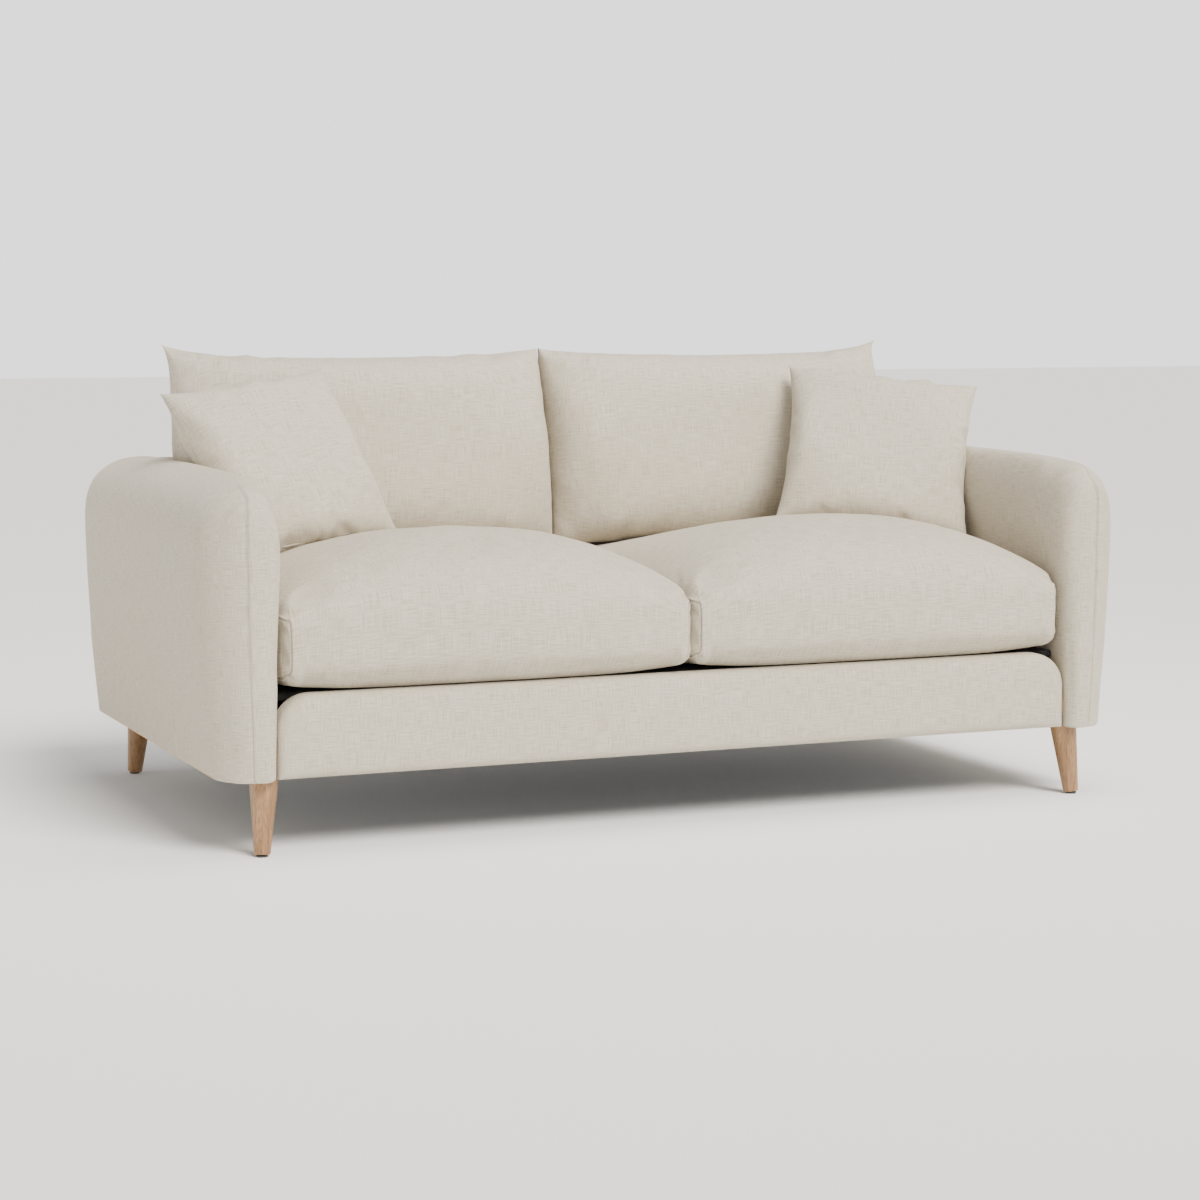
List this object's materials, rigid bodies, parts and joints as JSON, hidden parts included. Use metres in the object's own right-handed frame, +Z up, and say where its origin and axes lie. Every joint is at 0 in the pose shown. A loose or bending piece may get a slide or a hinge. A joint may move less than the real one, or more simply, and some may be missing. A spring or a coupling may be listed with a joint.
{
  "type": "sofa",
  "caption": "Two-seat fabric sofa with rolled-over flared arms, low back, loose seat and back cushions, scatter cushions and tapered splayed wooden legs.",
  "frame": {"origin": "on the floor, at the middle of the plan of the whole sofa", "axes": "+X to the right seen from the front, +Y from front to back, +Z up"},
  "size_m": [1.85, 1, 0.8667],
  "materials": {
    "cover_fabric": "oatmeal linen-look woven upholstery cloth, matt",
    "oak": "pale natural oak, matt lacquer",
    "glide_plastic": "dark moulded glide",
    "steel": "zinc-plated steel",
    "frame_timber": "sawn softwood",
    "hardboard": "smooth brown hardboard",
    "foam": "cut upholstery foam",
    "fibre_fill": "white fibre filling",
    "base_cloth": "black non-woven cloth",
    "webbing": "woven elastic webbing",
    "zip_tape": "closed coil zip on woven tape"
  },
  "bodies": {
    "base": {"front_rail_cover": "cover_fabric", "arm_cover_left": "cover_fabric", "arm_cover_right": "cover_fabric", "back_cover": "cover_fabric", "leg_front_left": "oak", "leg_front_right": "oak", "leg_rear_left": "oak", "leg_rear_right": "oak", "leg_glides": "glide_plastic", "leg_bolts": "steel", "arm_bolts": "steel", "seat_springs": "steel", "spring_clips": "steel", "tie_wires": "steel", "corner_blocks": "frame_timber", "front_seat_rail": "frame_timber", "rear_seat_rail": "frame_timber", "centre_rail": "frame_timber", "side_rails": "frame_timber", "base_boards": "frame_timber", "arm_front_post_left": "frame_timber", "arm_front_post_right": "frame_timber", "arm_rear_post_left": "frame_timber", "arm_rear_post_right": "frame_timber", "arm_top_rail_left": "frame_timber", "arm_top_rail_right": "frame_timber", "rear_base_rail": "frame_timber", "back_posts": "frame_timber", "back_top_rail": "frame_timber", "arm_panels_left": "hardboard", "arm_panels_right": "hardboard", "back_panel": "hardboard", "front_rail_foam": "foam", "arm_foam_left": "foam", "arm_foam_right": "foam", "back_pad": "foam", "deck_pad": "foam", "dust_cover": "base_cloth", "deck_cloth": "base_cloth", "back_webbing": "webbing"},
    "seat_cushion_left": {"seat_core_left": "foam", "seat_cover_left": "cover_fabric", "seat_zip_left": "zip_tape"},
    "back_cushion_left": {"back_fill_left": "fibre_fill", "back_cushion_cover_left": "cover_fabric", "back_zip_left": "zip_tape"},
    "scatter_cushion_left": {"scatter_fill_left": "fibre_fill", "scatter_cover_left": "cover_fabric", "scatter_zip_left": "zip_tape"},
    "seat_cushion_right": {"seat_core_right": "foam", "seat_cover_right": "cover_fabric", "seat_zip_right": "zip_tape"},
    "back_cushion_right": {"back_fill_right": "fibre_fill", "back_cushion_cover_right": "cover_fabric", "back_zip_right": "zip_tape"},
    "scatter_cushion_right": {"scatter_fill_right": "fibre_fill", "scatter_cover_right": "cover_fabric", "scatter_zip_right": "zip_tape"}
  },
  "joints": [
    {"name": "seat_left_lift", "type": "slide", "parent": "base", "child": "seat_cushion_left", "axis": [0, 0, 1], "range_m": [0, 0.4]},
    {"name": "back_left_lift", "type": "slide", "parent": "seat_cushion_left", "child": "back_cushion_left", "axis": [0, 0, 1], "range_m": [0, 0.4]},
    {"name": "scatter_left_lift", "type": "slide", "parent": "back_cushion_left", "child": "scatter_cushion_left", "axis": [0, 0, 1], "range_m": [0, 0.3]},
    {"name": "seat_right_lift", "type": "slide", "parent": "base", "child": "seat_cushion_right", "axis": [0, 0, 1], "range_m": [0, 0.4]},
    {"name": "back_right_lift", "type": "slide", "parent": "seat_cushion_right", "child": "back_cushion_right", "axis": [0, 0, 1], "range_m": [0, 0.4]},
    {"name": "scatter_right_lift", "type": "slide", "parent": "back_cushion_right", "child": "scatter_cushion_right", "axis": [0, 0, 1], "range_m": [0, 0.3]}
  ]
}
